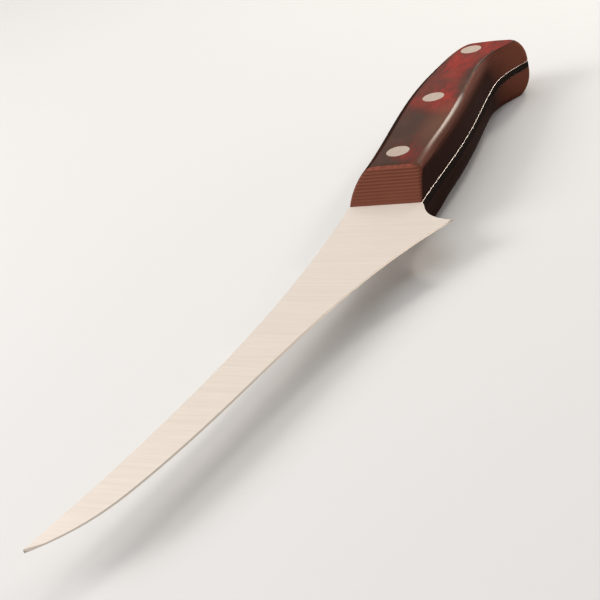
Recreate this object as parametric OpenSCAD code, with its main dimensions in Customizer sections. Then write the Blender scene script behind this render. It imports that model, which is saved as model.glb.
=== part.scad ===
// Fillet knife with a narrow upswept blade, a full tang and two riveted handle scales.
// Drafted with the handle front at x = 0, the rivet line at y = 0 and the blade's
// middle plane at z = 0: +X runs to the tip and +Y to the cutting edge. Each piece is
// then laid down with the knife on its lower scale, whose flat land holds the origin.

/* [Blade] */
// Length of the blade from the handle front to the tip
blade_len = 170.4; // [150:0.2:200]
// Thickness of the spine and of the tang at the handle
blade_t = 3.0; // [2:0.1:4]
// Thickness of the spine at the tip
tip_t = 1.0; // [0.6:0.1:1.8]
// Thickness just behind the sharpened bevel
edge_t = 0.5; // [0.3:0.05:0.8]
// Width of the sharpened bevel
bevel_w = 0.6; // [0.4:0.1:2]
// Height of the tip above the rivet line
tip_rise = 40.6; // [30:0.1:50]
// Height of the blunt nose at the very tip
nose_h = 1.2; // [0.6:0.1:2]
// Distance of the heel spur in front of the handle
heel_x = 11.0; // [8:0.1:16]
// Drop of the heel spur below the rivet line
heel_drop = 25.6; // [22:0.1:30]
// Width of the blunted point of the heel spur
spur_flat = 0.4; // [0.2:0.1:1]
// Length over which the flat grind runs out towards the handle
grind_run = 14; // [10:1:30]

/* [Handle] */
// Length of the handle from its front to the butt
handle_len = 123.6; // [115:0.2:140]
// Height of the handle above the rivet line at its front
front_top = 13.2; // [11:0.1:15]
// Depth of the handle below the rivet line at its front
front_belly = 12.2; // [11:0.1:15]
// Depth of the butt's hooked corner below the rivet line
hook_drop = 23.2; // [20:0.1:27]
// Thickness of each handle scale
scale_t = 9.7; // [8:0.1:12]
// Angle of the chamfer across the handle front
chamfer_angle = 46; // [35:1:55]
// Height over which the chamfer's upper edge rolls over into the flat land
roll_drop = 0.65; // [0.3:0.05:1.5]
// Length of that roll along the handle
roll_len = 2.4; // [0.5:0.1:4]
// Radius of the handle's two front corners where the chamfer ends
corner_r = 2.0; // [0.8:0.1:2.5]

/* [Rivets] */
// Diameter of the rivet heads
head_d = 8.0; // [6:0.1:9]
// Thickness of the rivet heads
head_t = 2.0; // [1.2:0.1:3]
// Outer diameter of the hollow rivet's barrel
barrel_d = 5.0; // [4:0.1:5.4]
// Diameter of the solid rivet's pin
pin_d = 3.2; // [2:0.1:3.4]
// Distance of the front rivet behind the handle front
front_rivet_in = 20.3; // [16:0.1:26]
// Distance of the rear rivet in front of the butt
rear_rivet_in = 11.7; // [11:0.1:18]
// Drop of the rear rivet below the rivet line
rear_rivet_drop = 2.9; // [0:0.1:5]
// Radial clearance of the rivets in their holes
rivet_gap = 0.05; // [0.02:0.01:0.15]
// Space left in front of the barrel's rim and the pin's end
end_gap = 0.5; // [0.3:0.1:1.5]

/* [Hidden] */

// One overrun for every cut that has to pass through a face
overrun = 1;
// Facets that stand for a full circle
round_facets = 64;

// Heights from the blade's middle plane
tang_z = blade_t / 2;
land_z = tang_z + scale_t;

// Rivet places
rear_rivet_x = rear_rivet_in - handle_len;
middle_rivet_x = (rear_rivet_x - front_rivet_in) / 2;

// The row's origin lies on the land, midway between the front and the middle rivet
origin_x = (front_rivet_in - middle_rivet_x) / 2;

// Blade outline: heights at the control points of each curve
spine_shares = [0.908, 0.547];
edge_shares = [0.08, 0.112, 0.528];
belly_share = 0.704;
// The place along the blade where the edge begins to sweep up to the tip
sweep_share = 0.85;
// How fast the root narrows inside the tang
root_share = 0.3;
// How far round its nose the tip is drawn, in degrees from where the nose begins
nose_turn = 80;
// Heel notch: control points between the handle corner and the spur
notch_shares = [[0.2, 0.2], [0.85, 0.06]];

// Handle outline: heights of the belly and the back, from the front to the waist
belly_shares = [1, 1.024, 1.424, 1.166, 1.154];
back_shares = [1, 0.785, 1.278, 0.955];
// Where the waist lies along the handle
waist_share = 0.733;
// How far the hook and the rear of the back carry on straight from the waist
hook_run_share = 0.826;
rear_run_share = 0.946;
// Hook, butt and rear of the back: shares of the handle's length and of the hook's drop
hook_shares = [[0.878, 0.647], [0.977, 1.024]];
butt_shares = [[1, 0.732], [1, 0.387], [1, 0.11]];
rear_share = [1, -0.225];
// Shares of the hook and butt curves that round their common corner, and how far that
// rounding is drawn towards the corner
hook_round_share = 0.10;
butt_round_share = 0.16;
round_pull_share = 0.6;

// Shoulders of the scales: place round the outline, then the width, the height and
// the lean of the rounding as shares of the scale's thickness. Places 0 to 1 are the
// belly, 1 to 2 the hook, 2 to 3 the butt, 3 to 4 the rear and 4 to 5 the back.
shoulder_shares = [
    [0.00, 0.42, 0.16, 0.12],
    [0.15, 0.41, 0.30, 0.08],
    [0.35, 0.46, 0.64, 0.03],
    [0.70, 0.50, 0.70, 0.02],
    [1.00, 0.53, 0.70, 0.03],
    [1.60, 0.47, 0.74, 0.05],
    [2.00, 0.54, 0.80, 0.06],
    [2.50, 0.48, 0.74, 0.04],
    [3.00, 0.52, 0.74, 0.02],
    [3.50, 0.60, 0.84, 0.00],
    [4.00, 0.68, 0.90, 0.00],
    [5.00, 0.68, 0.90, 0.00]
];
// Ways inwards at places round the rear, as angles that turn evenly past the corners
way_angles = [
    [1.0, -90], [1.5, -66], [2.0, -45], [2.5, -14], [3.0, 0], [3.4, 45], [3.7, 76], [4.0, 90]
];
// Fullness of the shoulders: 2 is an ellipse, and less is leaner
shoulder_power = 1.75;
// The front corners are sharper at the tang than at the chamfer's upper edge
corner_share = 0.35;

// Steps along the curves
grind_steps = 14;
blade_steps = 58;
nose_steps = 4;
side_steps = 26;
hook_steps = 14;
round_steps = 5;
butt_steps = 9;
rear_steps = 14;
layer_steps = 18;
corner_steps = 5;
notch_steps = 14;

// Curves

function mix(a, b, t) = a + (b - a) * t;

function smooth(t) = let (s = min(max(t, 0), 1)) s * s * (3 - 2 * s);

// Curve from the first of the values p to the last, drawn towards those between them
function bend(p, t) =
    len(p) == 1 ? p[0] : bend([for (i = [1 : len(p) - 1]) mix(p[i - 1], p[i], t)], t);

// Points of such a curve between two shares of its run, without the last
function run(p, steps, from = 0, to = 1) =
    [for (i = [0 : steps - 1]) bend(p, mix(from, to, i / steps))];

// Blade

sweep_x = blade_len * sweep_share;
sweep_y = -tip_rise * edge_shares[2];
// The edge's slope is the same on both sides of the point where the sweep begins
sweep_slope = tip_rise * (edge_shares[1] - edge_shares[2]) * 3 / (sweep_x - heel_x);
edge_curve = [heel_drop, -tip_rise * edge_shares[0], -tip_rise * edge_shares[1], sweep_y];
sweep_curve = [
    sweep_y,
    sweep_y + sweep_slope * (blade_len - sweep_x) / 3,
    -tip_rise * belly_share,
    nose_h - tip_rise
];
spine_curve = [
    -front_top, -front_top * spine_shares[0], -tip_rise * spine_shares[1], -tip_rise
];
// The edge's slope at the spur carries it on over the notch
heel_slope = (edge_curve[1] - edge_curve[0]) * 3 / (sweep_x - heel_x);

function spine_y(x) = bend(spine_curve, x / blade_len);

function edge_y(x) =
    x < heel_x ? heel_drop + heel_slope * (x - heel_x)
    : x < sweep_x ? bend(edge_curve, (x - heel_x) / (sweep_x - heel_x))
    : bend(sweep_curve, (x - sweep_x) / (blade_len - sweep_x));

// Cross-section of the blade: flat ground from the spine, with a sharpened bevel.
// In the nose both lines round off towards the middle of its height, and the root
// is a little smaller than the tang that it lies in.
function blade_ring(x, nose = 0) =
    let (
        mid = mix(spine_y(x), edge_y(x), 1 / 2),
        keep = sqrt(1 - nose * nose),
        root = max(-x, 0),
        top = mix(mid, spine_y(x), keep) + root,
        low = mix(mid, edge_y(x), keep),
        spine_z = mix(blade_t, tip_t, x / blade_len) / 2 - root * root_share,
        ground = smooth(x / grind_run),
        bevel_z = min(mix(spine_z, edge_t / 2, ground), spine_z),
        bevel_y = low - min(bevel_w, (low - top) / 2)
    )
    [[x, top, -spine_z], [x, bevel_y, -bevel_z], [x, low, 0],
     [x, bevel_y, bevel_z], [x, top, spine_z]];

// End face of n points as strips across it, from the first and last points inwards, so
// that an outline with a hollow side stays whole
function strips(n) = [
    for (i = [0 : ceil(n / 2) - 2])
        each concat(
            [[i, i + 1, n - 1 - i]],
            i + 1 < n - 2 - i ? [[i + 1, n - 2 - i, n - 1 - i]] : []
        )
];

// Closed solid through a list of rings that have the same number of points
module loft(rings) {
    n = len(rings[0]);
    last = len(rings) - 1;
    polyhedron(
        points = [for (ring = rings) each ring],
        faces = concat(
            strips(n),
            [for (r = [0 : last - 1]) for (i = [0 : n - 1])
                let (a = r * n + i, b = r * n + (i + 1) % n)
                each [[a, a + n, b + n], [a, b + n, b]]],
            [for (face = strips(n)) [for (i = [2 : -1 : 0]) last * n + face[i]]]
        )
    );
}

module ground_blade() {
    body_len = blade_len - nose_h / 2;
    loft(concat(
        [blade_ring(-overrun)],
        [for (i = [0 : grind_steps - 1]) blade_ring(grind_run * i / grind_steps)],
        [for (i = [0 : blade_steps]) blade_ring(mix(grind_run, body_len, i / blade_steps))],
        [for (i = [1 : nose_steps])
            let (angle = nose_turn * i / nose_steps)
            blade_ring(body_len + nose_h / 2 * sin(angle), sin(angle))]
    ));
}

// Concave cut between the handle's front corner and the heel spur
module heel_notch() {
    drop = heel_drop - front_belly;
    curve = [
        [0, front_belly],
        [heel_x * notch_shares[0][0], front_belly + drop * notch_shares[0][1]],
        [heel_x * notch_shares[1][0], front_belly + drop * notch_shares[1][1]],
        [heel_x + spur_flat, heel_drop]
    ];
    beyond = edge_y(-overrun) + overrun;
    behind = -2 * overrun;
    linear_extrude(height = blade_t + 2 * overrun, center = true)
        polygon(concat(
            run(curve, notch_steps),
            [curve[3], [heel_x + spur_flat, beyond], [behind, beyond], [behind, front_belly]]
        ));
}

// Handle outline

waist_x = -handle_len * waist_share;
belly_curve = [for (share = belly_shares) front_belly * share];
back_curve = [for (share = back_shares) -front_top * share];

function at_butt(share) = [-handle_len * share[0], hook_drop * share[1]];

// Points at the waist and behind it that carry on a side's curve without a kink
function past_waist(side, run_share) =
    let (
        last = len(side) - 1,
        slope = last * (side[last] - side[last - 1]) / waist_x,
        x = -handle_len * run_share
    )
    [[waist_x, side[last]], [x, side[last] + slope * (x - waist_x)]];

hook_curve = concat(
    past_waist(belly_curve, hook_run_share),
    [for (share = hook_shares) at_butt(share)]
);
butt_curve = concat([hook_curve[3]], [for (share = butt_shares) at_butt(share)]);
back_end = past_waist(back_curve, rear_run_share);
rear_curve = [butt_curve[3], at_butt(rear_share), back_end[1], back_end[0]];
// The hook's corner is rounded by a curve that is drawn towards the sharp corner
hook_end = bend(hook_curve, 1 - hook_round_share);
butt_start = bend(butt_curve, butt_round_share);
round_curve = [
    hook_end,
    mix(hook_end, hook_curve[3], round_pull_share),
    mix(butt_start, hook_curve[3], round_pull_share),
    butt_start
];

// Rear outline from the waist's belly round the butt to the waist's back
rear_outline = concat(
    run(hook_curve, hook_steps, 0, 1 - hook_round_share),
    run(round_curve, round_steps),
    run(butt_curve, butt_steps, butt_round_share, 1),
    run(rear_curve, rear_steps),
    [rear_curve[3]]
);
rear_count = len(rear_outline);
// Place of each of those points in the table of shoulders
rear_places = concat(
    [for (i = [0 : hook_steps - 1]) 1 + i / hook_steps],
    [for (i = [0 : round_steps - 1]) 2 + (i - round_steps / 2) / butt_steps / round_steps],
    [for (i = [0 : butt_steps - 1]) 2 + i / butt_steps],
    [for (i = [0 : rear_steps]) 3 + i / rear_steps]
);

// Way inwards from a place on the rear outline
function way_in(place) =
    let (angle = lookup(place, way_angles)) [cos(angle), sin(angle)];

// One column of the table of shoulders at a place round the outline, eased between rows
function shoulder(place, column) =
    let (
        passed = len([for (row = shoulder_shares) if (row[0] <= place) row]),
        next = min(passed, len(shoulder_shares) - 1),
        low = shoulder_shares[next - 1],
        high = shoulder_shares[next]
    )
    mix(low[column], high[column], smooth((place - low[0]) / (high[0] - low[0])));

// How far a wall stands in at a height above the tang
function inset(place, z) =
    let (
        width = scale_t * shoulder(place, 1),
        rise = scale_t * shoulder(place, 2),
        lean = shoulder(place, 3),
        up = min(max((z - scale_t + rise) / rise, 0), 1)
    )
    lean * z + width * (1 - (1 - up ^ shoulder_power) ^ (1 / shoulder_power));

// How far the roll at the chamfer's upper edge stands back at a height above the tang
function rolled(z) =
    let (up = max(z - scale_t + roll_drop, 0) / roll_drop) roll_len * (1 - sqrt(1 - up * up));

// Front of the scale at a height above the tang
function front_x(z) = -z / tan(chamfer_angle) - rolled(z);

// Radius of the front corners at a height above the tang: the roll takes them wider
function corner_radius(z) = corner_r * mix(corner_share, 1, z / scale_t) + rolled(z);

function belly_y(x, z) =
    let (t = x / waist_x) bend(belly_curve, t) - inset(t, z);

function back_y(x, z) =
    let (t = x / waist_x) bend(back_curve, t) + inset(5 - t, z);

// Outline behind the front corners at a height above the tang
function sides(z, side) = concat(
    [for (i = [0 : side_steps - 1])
        let (x = mix(side, waist_x, i / side_steps)) [x, belly_y(x, z)]],
    [for (i = [0 : rear_count - 1])
        rear_outline[i] + way_in(rear_places[i]) * inset(rear_places[i], z)],
    [for (i = [1 : side_steps])
        let (x = mix(waist_x, side, i / side_steps)) [x, back_y(x, z)]]
);

// Rounded front corner: how far each of its points lies behind and beside the corner
function corner(i, radius) =
    let (angle = 90 * i / corner_steps) [1 - cos(angle), 1 - sin(angle)] * radius;

// Closed outline of a scale at a height above the tang
function scale_ring(z) =
    let (front = front_x(z), radius = corner_radius(z))
    concat(
        [for (i = [0 : corner_steps - 1])
            let (c = corner(i, radius), x = front - c[0]) [x, belly_y(x, z) - c[1]]],
        sides(z, front - radius),
        [for (i = [corner_steps - 1 : -1 : 0])
            let (c = corner(i, radius), x = front - c[0]) [x, back_y(x, z) + c[1]]]
    );

// Heights of the layers, closer together towards the land
function layer_z(i) = scale_t * (1 - (1 - i / layer_steps) ^ 2);

// One scale, standing on the tang's upper face
module scale_body() {
    loft([for (i = [0 : layer_steps])
        [for (p = scale_ring(layer_z(i))) [p[0], p[1], tang_z + layer_z(i)]]]);
}

// Puts what a rivet needs at each of the three rivets
module at_rivets() {
    for (place = [[-front_rivet_in, 0], [middle_rivet_x, 0], [rear_rivet_x, rear_rivet_drop]])
        translate(place) children();
}

module barrel_bore() {
    cylinder(d = barrel_d + 2 * rivet_gap, h = 2 * land_z, center = true, $fn = round_facets);
}

module head_seat() {
    translate([0, 0, land_z - head_t])
        cylinder(d = head_d + 2 * rivet_gap, h = head_t + overrun, $fn = round_facets);
}

// Handle scale above the tang, bored for the rivets and sunk for their heads
module handle_scale() {
    difference() {
        scale_body();
        at_rivets() {
            barrel_bore();
            head_seat();
        }
    }
}

// The tang fills the scales' outline and has square front corners
module full_tang() {
    linear_extrude(height = blade_t, center = true)
        polygon(concat([[0, front_belly]], sides(0, -corner_r), [[0, -front_top]]));
}

// Rivet halves: a hollow barrel from below and a pin from above, pressed into it
module rivet_barrel() {
    rim_z = land_z - head_t - end_gap;
    difference() {
        union() {
            translate([0, 0, -land_z])
                cylinder(d = head_d, h = head_t, $fn = round_facets);
            translate([0, 0, -land_z + head_t])
                cylinder(d = barrel_d, h = rim_z + land_z - head_t, $fn = round_facets);
        }
        translate([0, 0, -land_z + head_t])
            cylinder(d = pin_d, h = 2 * land_z, $fn = round_facets);
    }
}

module rivet_pin() {
    end_z = -land_z + head_t + end_gap;
    translate([0, 0, land_z - head_t])
        cylinder(d = head_d, h = head_t, $fn = round_facets);
    translate([0, 0, end_z])
        cylinder(d = pin_d - 2 * rivet_gap, h = land_z - head_t - end_z, $fn = round_facets);
}

// Lays the drafted knife on its lower scale
module lay() {
    translate([origin_x, 0, land_z]) children();
}

module blade() {
    color("gainsboro") lay() difference() {
        union() {
            difference() {
                ground_blade();
                heel_notch();
            }
            full_tang();
        }
        at_rivets() barrel_bore();
    }
}

module upper_scale() {
    color("sienna") lay() handle_scale();
}

module lower_scale() {
    color("sienna") lay() mirror([0, 0, 1]) handle_scale();
}

module front_rivet_pin() {
    color("silver") lay() translate([-front_rivet_in, 0]) rivet_pin();
}

module front_rivet_barrel() {
    color("silver") lay() translate([-front_rivet_in, 0]) rivet_barrel();
}

module middle_rivet_pin() {
    color("silver") lay() translate([middle_rivet_x, 0]) rivet_pin();
}

module middle_rivet_barrel() {
    color("silver") lay() translate([middle_rivet_x, 0]) rivet_barrel();
}

module rear_rivet_pin() {
    color("silver") lay() translate([rear_rivet_x, rear_rivet_drop]) rivet_pin();
}

module rear_rivet_barrel() {
    color("silver") lay() translate([rear_rivet_x, rear_rivet_drop]) rivet_barrel();
}

blade();
upper_scale();
lower_scale();
front_rivet_pin();
front_rivet_barrel();
middle_rivet_pin();
middle_rivet_barrel();
rear_rivet_pin();
rear_rivet_barrel();
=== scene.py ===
import math

import bpy
from mathutils import Matrix, Vector

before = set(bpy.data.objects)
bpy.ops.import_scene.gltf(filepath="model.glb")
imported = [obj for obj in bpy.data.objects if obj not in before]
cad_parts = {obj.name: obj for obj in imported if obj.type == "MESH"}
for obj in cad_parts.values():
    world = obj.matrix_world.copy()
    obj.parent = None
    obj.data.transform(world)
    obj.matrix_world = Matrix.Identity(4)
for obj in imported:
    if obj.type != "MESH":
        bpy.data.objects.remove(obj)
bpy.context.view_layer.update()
scene = bpy.context.scene
MM = 0.001

# Heights and places in the knife's own frame, in mm
LEVEL = 11.2  # the blade's middle plane
LAND = 11.2  # the scales' flat lands, from that plane
FRONT = 43.2  # the end of the handle and the start of the blade
LAYER = 0.84  # one layer of the scales, with its line of glue
ARRIS = 0.28  # the bevel that breaks the tang's arrises
ARRIS_HEIGHT = 0.4  # the bevelled edges lie farther than this from the middle plane
ARRIS_END = FRONT - 0.3  # the bevel stops here, at the front of the handle
WELD = 0.001  # points nearer than this are joined

# Angles between faces, in degrees
SQUARE = 60  # an edge sharper than this is an arris
CRISP_BLADE = 8  # edges of the blade stay crisp above this
CRISP_HANDLE = 34  # edges of the scales and rivets stay crisp above this

# Camera, at the photograph's angle
FOCAL = 78.0  # mm, on a sensor of 36 mm
SENSOR = 36.0
VIEW_TURN = Vector((1.499, 1.857, -1.331))  # the axis of the view's turn, as long as its angle
VIEW_PLACE = Vector((0.40229, 0.15058, 0.18989))

right, down, forward = Matrix.Rotation(VIEW_TURN.length, 3, VIEW_TURN.normalized())
pose = Matrix((right, -down, -forward)).transposed().to_4x4()
pose.translation = VIEW_PLACE

lens = bpy.data.cameras.new("camera")
lens.lens = FOCAL
lens.sensor_width = SENSOR
lens.clip_start = 0.01
camera = bpy.data.objects.new("camera", lens)
scene.collection.objects.link(camera)
camera.matrix_world = pose
scene.camera = camera


def rgb(red, green, blue):
    """A colour as it shows on screen, 0 to 255, as the linear light of a shader."""
    def light(v):
        v /= 255
        return v / 12.92 if v <= 0.04045 else ((v + 0.055) / 1.055) ** 2.4
    return tuple(light(v) for v in (red, green, blue))


METALNESS = 0.75  # of the blade and the rivets

# Steel of the blade: its grain, its clouds, the honed edge, the tang's sides painted dark as a
# painted reflection of shade, their arrises painted pale as a painted highlight, and how the
# flats and the tang's sides tint what they mirror at a low angle, darker on the sides as a
# painted reflection
SATIN = [(0.30, rgb(234, 222, 210)), (0.70, rgb(249, 239, 228))]
SATIN_CLOUD = rgb(236, 223, 211)
HONED = rgb(190, 178, 168)
# Painted shade on the tang's sides, and a painted highlight on their arrises
TANG_SIDE_SHADE = [(0.32, rgb(26, 20, 18)), (0.68, rgb(50, 41, 36))]
ARRIS_HIGHLIGHT = rgb(214, 200, 188)
# Rim tints: plain on the flats, and darker on the tang's sides as a painted reflection
BRIGHT_RIM = (1.0, 1.0, 1.0)
SIDE_RIM_SHADE = (0.15, 0.12, 0.10)

# Metal of the rivets
RIVET = [(0.30, rgb(194, 176, 162)), (0.70, rgb(212, 195, 182))]
RIVET_CLOUD = rgb(188, 168, 154)

# The scales' top layers, from the red outermost one down: a place from 0 to 1 and a colour
TOP_LAYERS = [
    (0.00, rgb(154, 51, 42)),
    (0.07, rgb(136, 49, 41)),
    (0.13, rgb(110, 48, 40)),
    (0.20, rgb(84, 50, 42)),
    (0.27, rgb(74, 54, 45)),
    (0.33, rgb(70, 52, 43)),
    (0.36, rgb(86, 58, 48)),
    (0.40, rgb(128, 72, 56)),
    (0.45, rgb(126, 62, 49)),
    (0.52, rgb(88, 60, 50)),
    (0.60, rgb(124, 64, 51)),
    (0.68, rgb(92, 59, 49)),
    (0.78, rgb(120, 67, 53)),
    (0.90, rgb(108, 64, 51)),
]
TOP_DEPTHS = (-0.5, 2.5)  # mm below the top layer's own face, for the places 0 and 1

# One of the layers below them, between two dark lines of glue
EVEN_LAYER = [
    (0.00, rgb(88, 49, 39)),
    (0.12, rgb(116, 68, 54)),
    (0.45, rgb(130, 79, 63)),
    (0.80, rgb(118, 69, 55)),
    (1.00, rgb(88, 49, 39)),
]

# How high the top layer stands over parts of the plan, so that the flat land leaves more or
# less of it: x, y, half length, half width and height, in mm. The rows of -0.45 run along
# both rims of the rear half
HILLS = [
    (25, 4, 14, 9, 0.48),
    (13, 5, 9, 4.5, 0.26),
    (0, 4, 15, 8, 0.06),
    (11, -6, 18, 6, -0.14),
    (-21, 5, 12, 7, 0.16),
    (-58, 3, 14, 9, 0.16),
    (-30, 10.5, 16, 5, -0.45),
    (-44, 9.5, 12, 5, -0.45),
    (-56, 11, 8, 5, -0.45),
    (-62, 15, 6, 5, -0.45),
    (-30, -10, 20, 5, -0.45),
    (-48, -9, 16, 5, -0.45),
    (-62, -6, 12, 5, -0.45),
    (-32, 0, 14, 9, -0.20),
    (-52, -5, 14, 6, -0.12),
]
REAR_HEIGHT = 0.54  # it stands this much higher all over the rear half
TOP_LEVEL = -1.12  # its height over the land without hills, before it waves

# Stains and wear on the scales, a painted highlight on the chamfer's edge, and painted
# shade and painted light on the walls
BELLY_BROWN = rgb(108, 72, 56)
DULL_RED = rgb(100, 58, 48)
FADED = rgb(118, 70, 55)
FIBRE = rgb(84, 44, 36)
PORE = rgb(60, 32, 27)
WOOD_CLOUD = rgb(132, 84, 68)
# Painted highlight on the chamfer's upper edge
EDGE_HIGHLIGHT = rgb(158, 86, 70)
HANDLED = rgb(104, 64, 51)
# Painted shade on the walls
WALL_SHADE = rgb(38, 24, 21)
# Painted light on the walls at the butt
BUTT_LIGHT = rgb(176, 106, 84)


def plug(tree, socket, value):
    """Links an output to the socket, or sets a plain value on it."""
    if isinstance(value, bpy.types.NodeSocket):
        tree.links.new(value, socket)
    else:
        socket.default_value = value


def reckon(tree, kind, *values):
    """A math node in any tree of nodes, with outputs or plain numbers for its sockets."""
    node = tree.nodes.new("ShaderNodeMath")
    node.operation = kind
    for socket, value in zip(node.inputs, values):
        plug(tree, socket, value)
    return node.outputs[0]


def rise(tree, value, limits, kind="SMOOTHSTEP"):
    """Goes from the third limit to the fourth as the value goes from the first to the second."""
    node = tree.nodes.new("ShaderNodeMapRange")
    node.interpolation_type = kind
    plug(tree, node.inputs["Value"], value)
    for key, limit in zip(("From Min", "From Max", "To Min", "To Max"), limits):
        node.inputs[key].default_value = limit
    return node.outputs[0]


class Net:
    """The nodes of one material, in millimetres of the object's own frame."""

    def __init__(self, name):
        self.mat = bpy.data.materials.new(name)
        self.mat.use_nodes = True
        self.tree = self.mat.node_tree
        self.tree.nodes.clear()
        where = self.add("TexCoord").outputs["Object"]
        self.place = self.vmath("SCALE", where, Scale=1 / MM)
        split = self.add("SeparateXYZ", Vector=self.place)
        self.x, self.y, self.z = (split.outputs[k] for k in "XYZ")
        turned = self.add("SeparateXYZ", Vector=self.add("NewGeometry").outputs["Normal"])
        # How far the surface faces up or down, and how far it faces the belly
        self.up = self.math("ABSOLUTE", turned.outputs["Z"])
        self.across = turned.outputs["Y"]

    def add(self, kind, settings=None, **values):
        """A shader node, with values for its sockets, where _ stands for a space."""
        node = self.tree.nodes.new("ShaderNode" + kind)
        for key, value in (settings or {}).items():
            setattr(node, key, value)
        for key, value in values.items():
            plug(self.tree, node.inputs[key.replace("_", " ")], value)
        return node

    def math(self, kind, *values):
        return reckon(self.tree, kind, *values)

    def product(self, first, *others):
        for other in others:
            first = self.math("MULTIPLY", first, other)
        return first

    def total(self, *terms):
        """Sum of values, where a pair stands for a value and its factor."""
        result = 0.0
        for term in terms:
            value, factor = term if isinstance(term, tuple) else (term, 1.0)
            result = self.math("MULTIPLY_ADD", value, factor, result)
        return result

    def vmath(self, kind, *vectors, **values):
        node = self.add("VectorMath", {"operation": kind}, **values)
        for socket, vector in zip(node.inputs, vectors):
            plug(self.tree, socket, vector)
        return node.outputs[0]

    def noise(self, size, detail=2.0, rough=0.5, off=(0, 0, 0)):
        """Noise from 0 to 1 whose features are about size mm along x, y and z."""
        part = self.vmath("DIVIDE", self.vmath("ADD", self.place, off), size)
        node = self.add("TexNoise", Vector=part, Scale=1.0, Detail=detail, Roughness=rough)
        return node.outputs[0]

    def span(self, value, low, high, to_low=0.0, to_high=1.0):
        return rise(self.tree, value, (low, high, to_low, to_high))

    def hill(self, x, y, long, wide):
        """A soft hill of height 1 round a point of the plan, with its half length and width."""
        dx = self.math("DIVIDE", self.math("SUBTRACT", self.x, x), long)
        dy = self.math("DIVIDE", self.math("SUBTRACT", self.y, y), wide)
        return self.span(self.math("SQRT", self.total((dx, dx), (dy, dy))), 1.0, 0.0)

    def ramp(self, value, stops):
        node = self.add("ValToRGB", Fac=value)
        marks = node.color_ramp.elements
        while len(marks) < len(stops):
            marks.new(0.5)
        for mark, (place, colour) in zip(marks, stops):
            mark.position = place
            mark.color = (*colour, 1.0)
        return node.outputs["Color"]

    def mix(self, share, first, second):
        """Goes from the first colour to the second as the share goes from 0 to 1."""
        node = self.add("Mix", {"data_type": "RGBA"})
        sockets = (node.inputs[0], node.inputs[6], node.inputs[7])
        for socket, value in zip(sockets, (share, first, second)):
            plug(self.tree, socket, (*value, 1.0) if isinstance(value, tuple) else value)
        return node.outputs[2]

    def finish(self, bumps, **values):
        """The surface itself. Each bump is a height and the depth in mm that it stands for."""
        shader = self.add("BsdfPrincipled", **values)
        normal = None
        for height, depth in bumps:
            node = self.add("Bump", Height=height, Distance=depth * MM, Strength=1.0)
            if normal:
                plug(self.tree, node.inputs["Normal"], normal)
            normal = node.outputs[0]
        plug(self.tree, shader.inputs["Normal"], normal)
        self.add("OutputMaterial", Surface=shader.outputs[0])
        return self.mat


def blade_steel():
    """Satin steel, ground across the blade, with the narrow sides of the tang painted darker as
    painted shade.
    """
    net = Net("blade_steel")
    fine = net.noise((0.16, 14, 14), 3.0, 0.7)
    coarse = net.noise((1.3, 60, 60), 2.0, 0.6, (40, 0, 0))
    cloud = net.noise((26, 18, 18), 2.0, 0.5, (9, 4, 0))
    tone = net.ramp(net.total((fine, 0.6), (coarse, 0.4)), SATIN)
    tone = net.mix(net.span(cloud, 0.3, 0.7, 0.0, 0.25), tone, SATIN_CLOUD)

    # The honed edge is a little darker than the flats
    past_handle = net.span(net.x, FRONT + 1, FRONT + 3)
    honed = net.product(net.span(net.up, 0.985, 0.970), past_handle, 0.8)
    tone = net.mix(honed, tone, HONED)

    # The tang's sides are ground along the handle, and painted dark as a painted reflection of
    # shade, but for their arrises, which are painted pale as a painted highlight
    along = net.noise((16, 16, 0.13), 3.0, 0.7, (0, 0, 7))
    shade_mottle = net.noise((7, 7, 1.2), 3.0, 0.6, (3, 0, 2))
    side = net.product(net.span(net.up, 0.55, 0.25), net.span(net.x, FRONT + 3, FRONT - 1))
    tone = net.mix(side, tone, net.ramp(net.total((along, 0.6), (shade_mottle, 0.4)), TANG_SIDE_SHADE))
    slanted = net.product(net.span(net.up, 0.45, 0.60), net.span(net.up, 0.90, 0.80))
    arris = net.product(slanted, net.span(net.x, FRONT + 1, FRONT - 1))
    tone = net.mix(arris, tone, ARRIS_HIGHLIGHT)
    side = net.product(side, net.math("SUBTRACT", 1.0, arris))

    # The scratches lie across the blade, so they spread the light along it
    spread = net.add("CombineXYZ", X=1.0, Y=0.0, Z=0.0).outputs[0]
    grind = net.product(fine, net.math("SUBTRACT", 1.0, side))
    return net.finish(
        [(coarse, 0.0005), (grind, 0.0015), (net.product(along, side), 0.006)],
        Base_Color=tone,
        Metallic=METALNESS,
        Roughness=net.total((fine, 0.12), (cloud, 0.06), 0.33, (side, 0.10)),
        # The tang's sides darken what they mirror at a low angle, a painted reflection of shade
        Specular_Tint=net.mix(side, BRIGHT_RIM, SIDE_RIM_SHADE),
        Anisotropic=0.8,
        Tangent=spread,
    )


def rivet_steel():
    """Pale rivet metal, sanded flush along the handle."""
    net = Net("rivet_steel")
    fine = net.noise((9, 0.14, 9), 3.0, 0.7, (3, 0, 0))
    cloud = net.noise((3, 2, 3), 2.0, 0.5, (5, 7, 0))
    tone = net.ramp(fine, RIVET)
    tone = net.mix(net.span(cloud, 0.35, 0.75, 0.0, 0.3), tone, RIVET_CLOUD)
    rough = net.total((fine, 0.2), 0.38)
    return net.finish([(fine, 0.003)], Base_Color=tone, Metallic=METALNESS, Roughness=rough)


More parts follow.
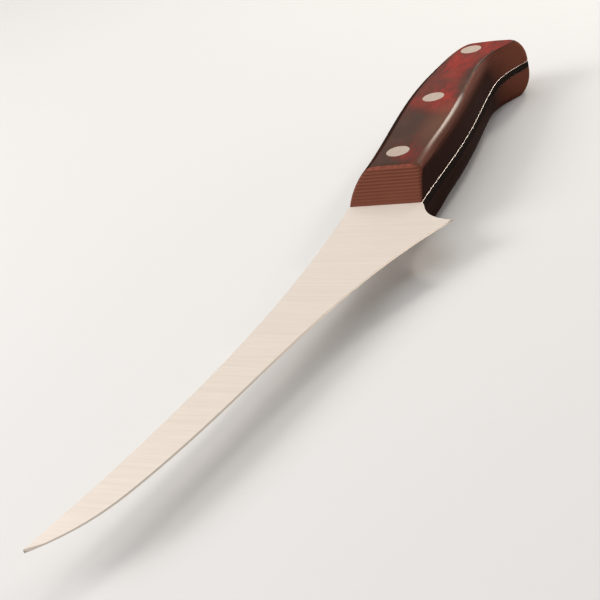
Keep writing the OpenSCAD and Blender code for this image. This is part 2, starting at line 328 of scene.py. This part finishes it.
def top_layers(net, depth, swell, ripple):
    """The red and grey-brown layers on top, and how deep a point lies below their own face."""
    # They wave a little, so the land cuts into different ones along the handle: into the red
    # one at the rear and under the front rivet, and into the grey one elsewhere
    rear = net.span(net.total(net.x, (net.y, -0.7), (swell, 10.0), (ripple, 12.0)), 7.0, -5.0)
    hills = [(net.hill(*spot), height) for *spot, height in HILLS]
    waves = [(swell, 0.80), (ripple, 0.80)]
    crown = net.total((rear, REAR_HEIGHT), *hills, *waves, TOP_LEVEL)

    # At the front and along the back they follow the rounded edge down
    back = net.product(net.span(net.y, -6.5, -9.5), net.math("MINIMUM", depth, 2.5))
    near_front = net.span(net.x, FRONT - 13.5, FRONT - 12)
    roll = net.product(near_front, net.math("MINIMUM", depth, 0.65))
    sunk = net.total(depth, (crown, -1.0), (net.math("MAXIMUM", back, roll), -0.85))
    top = net.ramp(rise(net.tree, sunk, (*TOP_DEPTHS, 0.0, 1.0), "LINEAR"), TOP_LAYERS)

    # The grey layer is browner by the belly, and the red one is dull behind the middle rivet
    top = net.mix(net.product(net.hill(2, 9, 28, 9), 0.75), top, BELLY_BROWN)
    top = net.mix(net.product(net.hill(-36, -2, 16, 10), 0.45), top, DULL_RED)
    return top, sunk


def lower_layers(net, level, swell, ripple):
    """Layers that are alike, with a thin dark line of glue between each pair, and their rise."""
    wave = net.total((ripple, 0.10), (swell, 0.10))
    phase = net.math("FRACT", net.math("DIVIDE", net.math("ADD", level, wave), LAYER))
    fade = net.noise((30, 12, 3), 2.0, 0.5, (2, 5, 1))
    faded = net.span(net.total(level, (fade, 5.0)), 10.5, 3.0, 0.0, 0.75)
    return net.mix(faded, net.ramp(phase, EVEN_LAYER), FADED), phase


def laminate():
    """Layers that lie along the blade: red and grey-brown on top, and a calmer brown below."""
    net = Net("handle_laminate")
    level = net.math("ABSOLUTE", net.math("SUBTRACT", net.z, LEVEL))
    depth = net.math("SUBTRACT", LAND, level)
    # From 1.5 to 1.8 on the slanted front face, and less behind it
    reach = net.math("SUBTRACT", net.math("ADD", net.x, level), FRONT)

    swell = net.noise((19, 8, 900), 2.0, 0.5, (12, 3, 0))
    ripple = net.noise((5, 1.6, 900), 3.0, 0.6, (0, 8, 0))
    top, sunk = top_layers(net, depth, swell, ripple)
    lower, phase = lower_layers(net, level, swell, ripple)
    chamfer = net.product(net.span(reach, 1.0, 1.4), net.span(depth, 0.45, 0.70))
    tone = net.mix(net.math("MAXIMUM", net.span(sunk, 1.4, 2.2), chamfer), top, lower)

    # Pores and fibres along the handle, and a little dirt in them
    fibre = net.noise((7, 0.18, 0.4), 4.0, 0.65, (0, 0, 4))
    pore = net.noise((1.4, 0.10, 0.10), 2.0, 0.5, (1, 2, 3))
    cloud = net.noise((14, 9, 6), 3.0, 0.5, (4, 4, 4))
    tone = net.mix(net.span(fibre, 0.45, 0.75, 0.0, 0.18), tone, FIBRE)
    tone = net.mix(net.span(pore, 0.66, 0.80, 0.0, 0.35), tone, PORE)
    tone = net.mix(net.span(cloud, 0.40, 0.75, 0.0, 0.14), tone, WOOD_CLOUD)

    # The chamfer's upper edge is painted pale as a painted highlight, and the hand has dulled
    # the shoulder by the belly
    edge_highlight = net.product(net.span(depth, 1.00, 0.65), net.span(reach, 0.9, 1.4))
    tone = net.mix(net.product(edge_highlight, net.span(ripple, 0.35, 0.65, 0.4, 0.8)), tone, EDGE_HIGHLIGHT)
    dulled = net.product(
        net.span(net.across, 0.02, 0.12),
        net.span(net.up, 0.80, 0.95),
        net.span(net.x, -34, -10, 0.0, 0.75),
    )
    tone = net.mix(dulled, tone, HANDLED)

    # The walls are painted darker, a painted shade, most of all by the line where they meet
    # the tang, and painted paler again at the butt, a painted light
    steep = net.math("MAXIMUM", net.span(net.up, 0.82, 0.42), net.span(net.across, -0.12, -0.40))
    foot = net.span(level, 1.8, 1.55)
    wall = net.product(net.math("MAXIMUM", steep, foot), net.span(reach, 1.2, 0.4))
    tone = net.mix(net.product(wall, net.span(net.x, -64, -48, 0.1, 0.9)), tone, WALL_SHADE)
    tone = net.mix(net.product(wall, net.span(net.x, -58, -72, 0.0, 0.4)), tone, BUTT_LIGHT)

    # The top shines little, but for the ridge of the shoulder by the belly
    shoulder = net.span(net.up, 0.995, 0.93)
    sheen = net.product(
        net.span(net.up, 0.72, 0.90, 0.01, 0.025),
        net.span(net.across, -0.30, -0.05),
    )
    ridge = net.product(
        net.span(net.across, 0.10, 0.30),
        net.span(net.up, 0.78, 0.90),
        net.span(net.x, -26, -12),
        net.span(net.x, 27, 0),
    )
    return net.finish(
        [(phase, 0.001), (fibre, 0.0007), (pore, 0.0015)],
        Base_Color=tone,
        Roughness=net.total((cloud, 0.08), (fibre, 0.06), (shoulder, 0.18), (wall, 0.10), 0.16),
        Specular_IOR_Level=net.total(sheen, (ridge, 0.60)),
    )


def tool(name, build):
    """A group of geometry nodes with one mesh in and one out, which joins the faces first."""
    group = bpy.data.node_groups.new(name, "GeometryNodeTree")
    for way in ("INPUT", "OUTPUT"):
        group.interface.new_socket("Geometry", in_out=way, socket_type="NodeSocketGeometry")
    entry = group.nodes.new("NodeGroupInput")
    leave = group.nodes.new("NodeGroupOutput")
    weld = group.nodes.new("GeometryNodeMergeByDistance")
    weld.inputs["Distance"].default_value = WELD * MM
    group.links.new(entry.outputs[0], weld.inputs[0])
    group.links.new(build(group, weld.outputs[0]), leave.inputs[0])
    return group


def compare(group, kind, value, limit):
    node = group.nodes.new("FunctionNodeCompare")
    node.data_type = "FLOAT"
    node.operation = kind
    plug(group, node.inputs[0], value)
    plug(group, node.inputs[1], limit)
    return node.outputs[0]


def both(group, first, second):
    node = group.nodes.new("FunctionNodeBooleanMath")
    node.operation = "AND"
    plug(group, node.inputs[0], first)
    plug(group, node.inputs[1], second)
    return node.outputs[0]


def smooth_up_to(angle):
    """Shades the faces as one wherever they meet at less than that angle."""
    def build(group, mesh):
        bend = group.nodes.new("GeometryNodeInputMeshEdgeAngle")
        flat = compare(group, "LESS_THAN", bend.outputs[0], math.radians(angle))
        for domain, smooth in (("FACE", True), ("EDGE", flat)):
            shade = group.nodes.new("GeometryNodeSetShadeSmooth")
            shade.domain = domain
            plug(group, shade.inputs[0], mesh)
            plug(group, shade.inputs["Shade Smooth"], smooth)
            mesh = shade.outputs[0]
        return mesh
    return tool(f"smooth_{angle}", build)


def mark_arrises(group, mesh):
    """Weights for the bevel: the square edges of the tang, away from its middle plane."""
    bend = group.nodes.new("GeometryNodeInputMeshEdgeAngle")
    where = group.nodes.new("GeometryNodeInputPosition")
    split = group.nodes.new("ShaderNodeSeparateXYZ")
    plug(group, split.inputs[0], where.outputs[0])
    height = reckon(group, "ABSOLUTE", reckon(group, "SUBTRACT", split.outputs["Z"], LEVEL * MM))
    held = both(
        group,
        compare(group, "GREATER_THAN", height, ARRIS_HEIGHT * MM),
        compare(group, "LESS_THAN", split.outputs["X"], ARRIS_END * MM),
    )
    square = compare(group, "GREATER_THAN", bend.outputs[0], math.radians(SQUARE))
    store = group.nodes.new("GeometryNodeStoreNamedAttribute")
    store.data_type = "FLOAT"
    store.domain = "EDGE"
    store.inputs["Name"].default_value = "bevel_weight_edge"
    plug(group, store.inputs["Geometry"], mesh)
    plug(group, store.inputs["Value"], both(group, square, held))
    return store.outputs[0]


def dress(piece, material, smoothing):
    piece.data.materials.clear()
    piece.data.materials.append(material)
    piece.modifiers.new("smooth", "NODES").node_group = smoothing
    even = piece.modifiers.new("even", "WEIGHTED_NORMAL")
    even.keep_sharp = True
    even.weight = 80


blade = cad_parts["blade"]
blade.modifiers.new("arrises", "NODES").node_group = tool("mark_arrises", mark_arrises)
broken = blade.modifiers.new("broken", "BEVEL")
broken.limit_method = "WEIGHT"
broken.width = ARRIS * MM
broken.segments = 1
broken.use_clamp_overlap = False
dress(blade, blade_steel(), smooth_up_to(CRISP_BLADE))

rivet, wood = rivet_steel(), laminate()
smooth_handle = smooth_up_to(CRISP_HANDLE)
for name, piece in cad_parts.items():
    if name != "blade":
        dress(piece, wood if name.endswith("scale") else rivet, smooth_handle)

# Stage: the floor is pale where it is seen, also in the metal, and a mid grey as a source of
# light
FLOOR_SEEN = (0.74, 0.74, 0.74, 1)
FLOOR_LIGHT = (0.40, 0.39, 0.38, 1)

bpy.ops.mesh.primitive_plane_add(size=6.0, location=(0, 0, 0))
floor = bpy.context.object
floor.name = "floor"
paper = bpy.data.materials.new("floor")
paper.use_nodes = True
leaf = paper.node_tree
matt = leaf.nodes["Principled BSDF"]
matt.inputs["Roughness"].default_value = 0.9
path = leaf.nodes.new("ShaderNodeLightPath")
seen = path.outputs["Is Camera Ray"]
for ray in ("Is Glossy Ray", "Is Transmission Ray"):
    seen = reckon(leaf, "MAXIMUM", seen, path.outputs[ray])
shade = leaf.nodes.new("ShaderNodeMix")
shade.data_type = "RGBA"
plug(leaf, shade.inputs[0], seen)
plug(leaf, shade.inputs[6], FLOOR_LIGHT)
plug(leaf, shade.inputs[7], FLOOR_SEEN)
plug(leaf, matt.inputs["Base Color"], shade.outputs[2])
floor.data.materials.append(paper)


def softbox(name, place, aim, size, power, tint):
    lamp = bpy.data.lights.new(name, "AREA")
    lamp.shape = "RECTANGLE"
    lamp.size, lamp.size_y = size
    lamp.energy = power
    lamp.color = tint
    it = bpy.data.objects.new(name, lamp)
    scene.collection.objects.link(it)
    it.location = place
    it.rotation_euler = (Vector(aim) - Vector(place)).to_track_quat("-Z", "Y").to_euler()


# Two wide lamps light the whole knife. The small ones only make the bright lines along the
# shoulder by the belly, along the tang's arrises and on the hooked butt
WIDE, SLIM, SMALL, FLAT = (0.5, 0.4), (0.18, 0.10), (0.10, 0.06), (0.12, 0.06)
WARM = (1.0, 0.95, 0.90)
softbox("key", (0.38, -0.76, 0.56), (0.03, 0.0, 0.01), WIDE, 5.4, (1.0, 0.98, 0.95))
softbox("front", (0.75, -0.45, 0.45), (0.03, 0.0, 0.01), WIDE, 0.4, (1.0, 0.97, 0.94))
softbox("ridge", (-0.87, 0.10, 0.53), (0.0, 0.01, 0.02), SLIM, 3.2, (1.0, 0.90, 0.77))
softbox("arris", (-0.77, 0.31, 0.28), (0.0, 0.0, 0.02), SMALL, 1.0, WARM)
softbox("hook", (-0.30, 0.32, 0.325), (-0.06, 0.01, 0.013), FLAT, 0.35, WARM)

# The room: dim near the horizon and past the cutting edge, and bright overhead and above the
# knife's back, where the blade mirrors it. Each row has a direction, two dot products with
# it, and the share of the light at the first of them, which rises to 1 at the second
ROOM_LIGHT = 1.08
ROOM_TINT = (1.0, 0.985, 0.97, 1)
ROOM_SHADE = [
    ((0.0, 0.0, 1.0), 0.12, 0.28, 0.08),
    ((0.16, -0.92, 0.35), 0.02, 0.28, 0.30),
    ((0.0, 0.0, 1.0), 0.50, 0.95, 0.62),
]
world = bpy.data.worlds.new("studio")
scene.world = world
world.use_nodes = True
tree = world.node_tree
sky = tree.nodes["Background"]
sky.inputs["Color"].default_value = ROOM_TINT
way = tree.nodes.new("ShaderNodeTexCoord").outputs["Generated"]
strength = ROOM_LIGHT
for direction, low, high, least in ROOM_SHADE:
    dot = tree.nodes.new("ShaderNodeVectorMath")
    dot.operation = "DOT_PRODUCT"
    plug(tree, dot.inputs[0], way)
    plug(tree, dot.inputs[1], direction)
    share = rise(tree, dot.outputs["Value"], (low, high, least, 1.0))
    strength = reckon(tree, "MULTIPLY", share, strength)
plug(tree, sky.inputs["Strength"], strength)

scene.view_settings.view_transform = "Standard"
